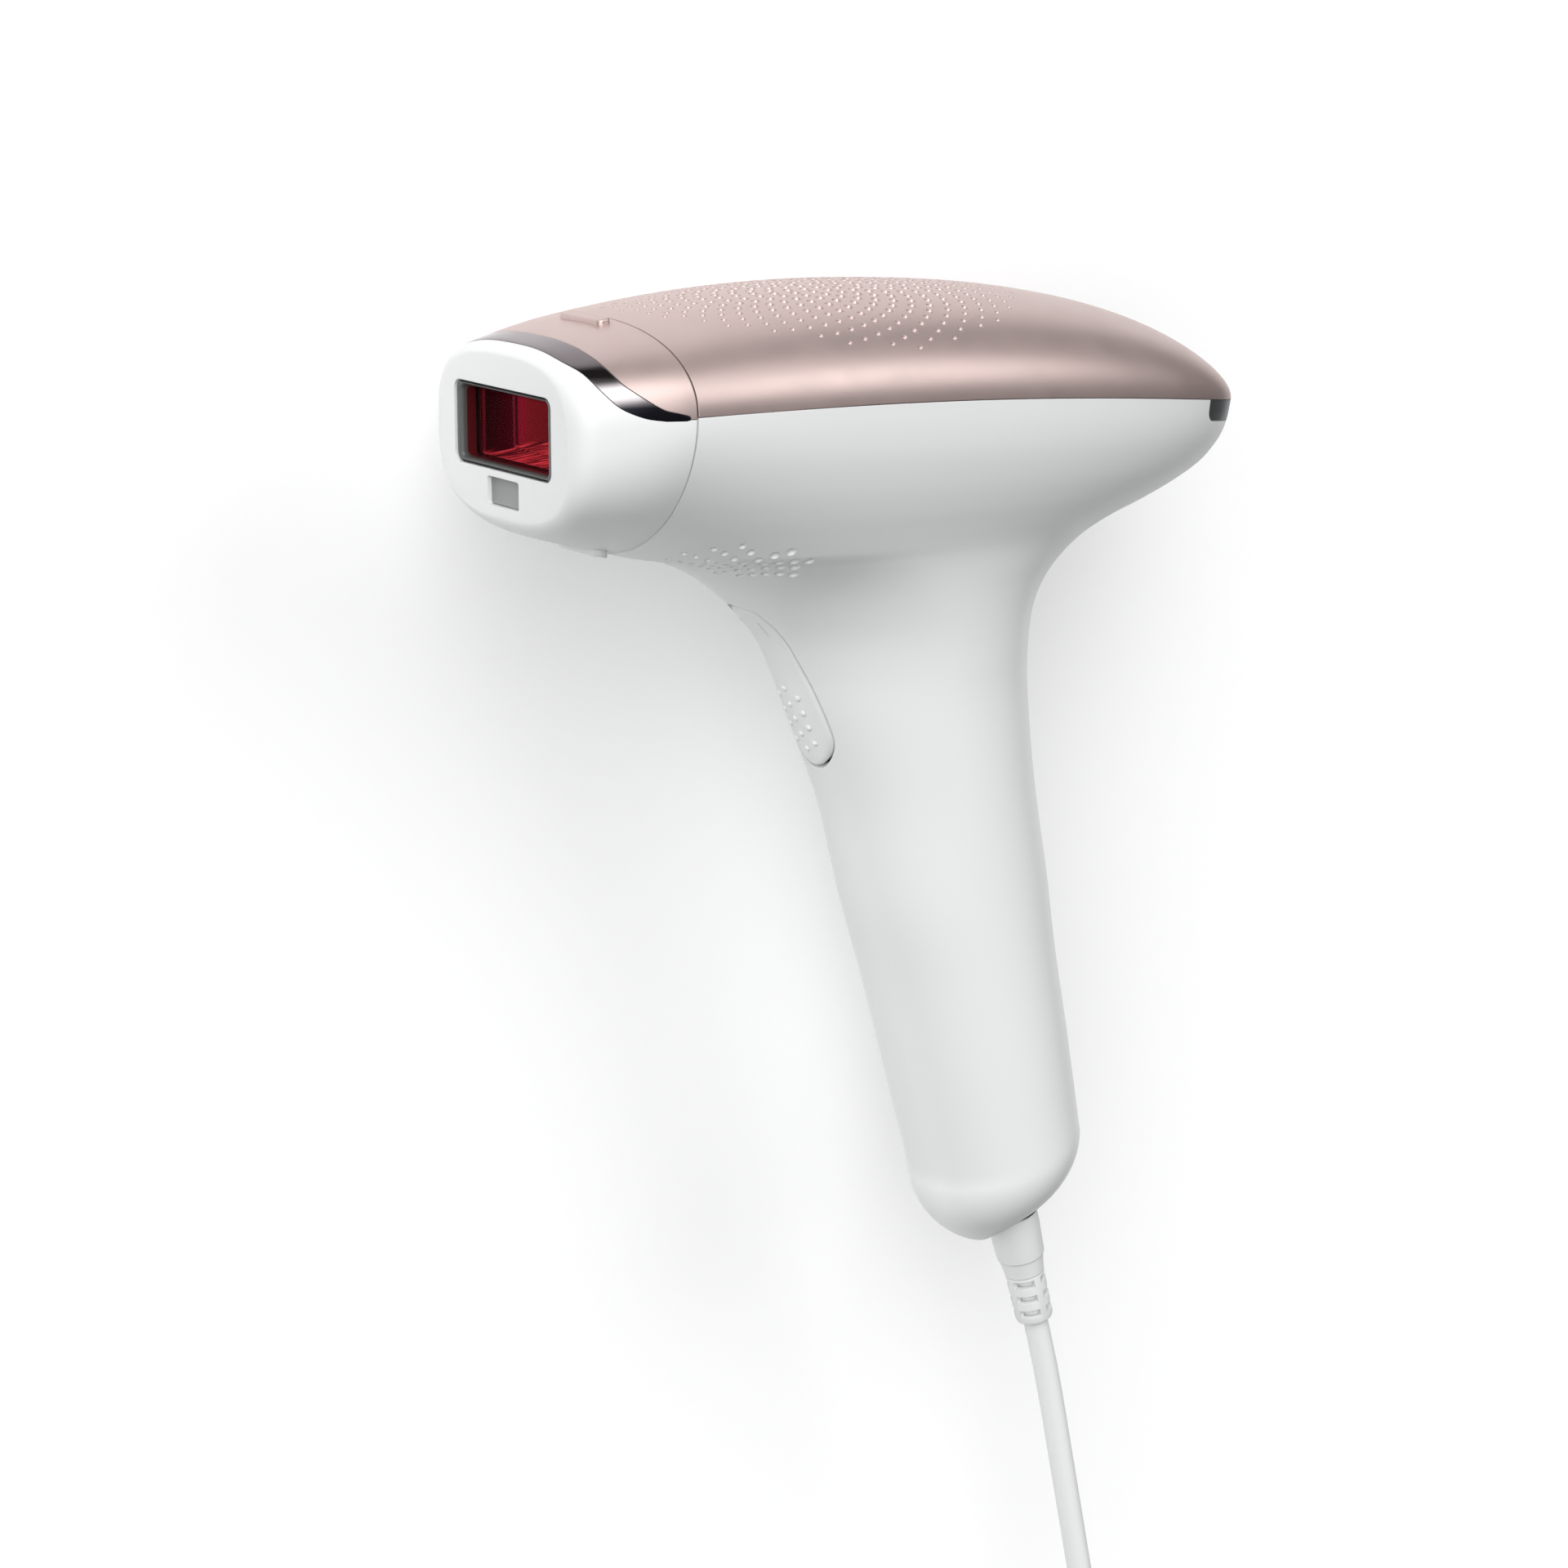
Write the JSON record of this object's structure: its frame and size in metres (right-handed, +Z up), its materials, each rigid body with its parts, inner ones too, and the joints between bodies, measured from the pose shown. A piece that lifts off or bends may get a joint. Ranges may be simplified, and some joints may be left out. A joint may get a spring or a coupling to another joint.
{
  "type": "ipl hair remover",
  "caption": "Pistol-shaped light-pulse hair remover: slide-off treatment head, domed top cover, press button on the handle and a low-voltage plug with a short length of cord.",
  "frame": {"origin": "middle of the treatment glass's front face", "axes": "-X out of the treatment window towards the skin, +X along the head to its tail, +Y across, +Z up through the top cover"},
  "size_m": [0.1723, 0.0712, 0.3156],
  "materials": {
    "white_shell": "glossy white moulded plastic",
    "rose_cover": "satin rose metallic lacquer",
    "bright_trim": "bright plated trim with a mauve tint",
    "dark_panel": "dark grey plastic",
    "frame_grey": "satin grey plastic",
    "red_filter": "polished red filter glass",
    "sensor_grey": "smooth grey window",
    "clear_glass": "polished clear glass",
    "mirror_metal": "polished reflector sheet",
    "steel": "plain steel",
    "contact_brass": "plated contacts",
    "black_plastic": "black glass-filled plastic",
    "circuit_board": "green board lacquer",
    "ceramic": "matt heat-proof ceramic",
    "copper": "enamelled copper winding",
    "capacitor_sleeve": "dark blue shrink sleeve",
    "cord_white": "soft white moulded plastic"
  },
  "bodies": {
    "handpiece": {"body_housing": "white_shell", "top_cover": "rose_cover", "rear_light_strip": "dark_panel", "front_frame": "white_shell", "connector_socket": "black_plastic", "lamp_holder": "ceramic", "uv_filter_glass": "clear_glass", "lamp_reflector": "mirror_metal", "flash_lamp": "clear_glass", "lamp_electrode_left": "steel", "lamp_electrode_right": "steel", "chassis": "black_plastic", "chassis_screw_1": "steel", "chassis_screw_2": "steel", "chassis_screw_3": "steel", "chassis_screw_4": "steel", "power_board": "circuit_board", "trigger_transformer": "ceramic", "charging_coil": "copper", "power_transistor": "black_plastic", "storage_capacitor": "capacitor_sleeve", "fan_housing": "black_plastic", "fan_motor": "steel", "flash_button_pin": "steel", "trigger_bracket": "black_plastic", "flash_switch": "black_plastic", "power_switch": "dark_panel", "skin_check_switch": "dark_panel", "control_board": "circuit_board", "light_guide": "clear_glass", "dc_socket": "black_plastic"},
    "attachment": {"attachment_shell": "white_shell", "attachment_trim": "bright_trim", "attachment_cover": "rose_cover", "filter_glass": "red_filter", "attachment_reflector": "mirror_metal", "attachment_carrier": "black_plastic", "skin_sensor_window": "sensor_grey", "skin_sensor_board": "circuit_board", "attachment_contacts": "contact_brass"},
    "contact_ring": {"window_frame": "frame_grey"},
    "flash_key": {"flash_button": "white_shell"},
    "flash_plunger": {"flash_switch_plunger": "dark_panel"},
    "power_key": {"power_button": "white_shell"},
    "skin_check_key": {"skin_check_button": "white_shell"},
    "impeller": {"fan_impeller": "dark_panel"},
    "plug_pin": {"plug_barrel": "steel"},
    "plug_lead": {"plug_grip": "cord_white", "cord_boot": "cord_white", "power_cord": "cord_white"}
  },
  "joints": [
    {"name": "attachment_slide", "type": "slide", "parent": "handpiece", "child": "attachment", "axis": [-1, 0, 0], "range_m": [0, 0.03]},
    {"name": "contact_ring_press", "type": "slide", "parent": "attachment", "child": "contact_ring", "axis": [1, 0, 0], "range_m": [0, 0.001]},
    {"name": "flash_key_hinge", "type": "hinge", "parent": "handpiece", "child": "flash_key", "pos_m": [0.0637, 0, -0.0434], "axis": [0, -1, 0], "range_deg": [0, 2.2]},
    {"name": "flash_plunger_slide", "type": "slide", "parent": "handpiece", "child": "flash_plunger", "axis": [0.8844, 0, 0.4667], "range_m": [0, 0.0009]},
    {"name": "power_key_press", "type": "slide", "parent": "handpiece", "child": "power_key", "axis": [-0.7861, 0, 0.6181], "range_m": [0, 0.0006]},
    {"name": "skin_check_key_press", "type": "slide", "parent": "handpiece", "child": "skin_check_key", "axis": [-0.45, 0, 0.893], "range_m": [0, 0.0005]},
    {"name": "fan_spin", "type": "hinge", "parent": "handpiece", "child": "impeller", "pos_m": [0.1185, 0, 0], "axis": [0, 0, 1], "continuous": true},
    {"name": "plug_pull", "type": "slide", "parent": "handpiece", "child": "plug_pin", "axis": [0.264, 0, -0.9645], "range_m": [0, 0.02]},
    {"name": "plug_turn", "type": "hinge", "parent": "plug_pin", "child": "plug_lead", "pos_m": [0.1251, 0, -0.1832], "axis": [0.264, 0, -0.9645], "range_deg": [-180, 180]}
  ],
  "couplings": [
    {"joint": "flash_plunger_slide", "follows": "flash_key_hinge", "m_per_rad": 0.02048}
  ]
}
